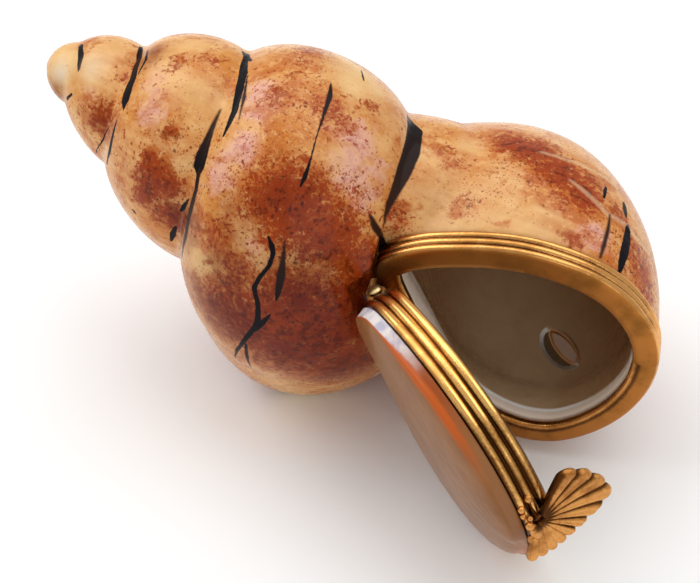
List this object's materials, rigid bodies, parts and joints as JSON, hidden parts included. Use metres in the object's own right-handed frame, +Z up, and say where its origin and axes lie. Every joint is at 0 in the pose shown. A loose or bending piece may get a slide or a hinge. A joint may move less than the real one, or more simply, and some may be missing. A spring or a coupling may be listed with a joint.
{
  "type": "whelk shell trinket box",
  "caption": "Hollow glazed whelk-shell box with a hinged domed lid closing its mouth, gilt ribbed bezels and a scallop clasp.",
  "frame": {"origin": "middle of the small flat foot under the shell", "axes": "+Z up as the box stands, -Y out of the shell's mouth, -X towards the apex"},
  "size_m": [0.0901, 0.0683, 0.0498],
  "materials": {
    "painted_porcelain": "glazed porcelain painted ivory, rust and mauve with black strokes",
    "lid_porcelain": "glazed porcelain, pinkish beige with an orange edge",
    "gilt_brass": "antique gilt, darkened in the grooves"
  },
  "bodies": {
    "shell": {"shell_body": "painted_porcelain", "body_bezel": "gilt_brass", "body_knuckle_1": "gilt_brass", "body_knuckle_2": "gilt_brass", "body_knuckle_3": "gilt_brass", "hinge_pin": "gilt_brass"},
    "lid": {"lid_shell": "lid_porcelain", "lid_bezel": "gilt_brass", "lid_knuckle_1": "gilt_brass", "lid_knuckle_2": "gilt_brass", "clasp": "gilt_brass"}
  },
  "joints": [
    {"name": "lid_hinge", "type": "hinge", "parent": "shell", "child": "lid", "pos_m": [0.01255, -0.0135, 0.02313], "axis": [-0.3535, 0, 0.9354], "range_deg": [0, 49]}
  ]
}
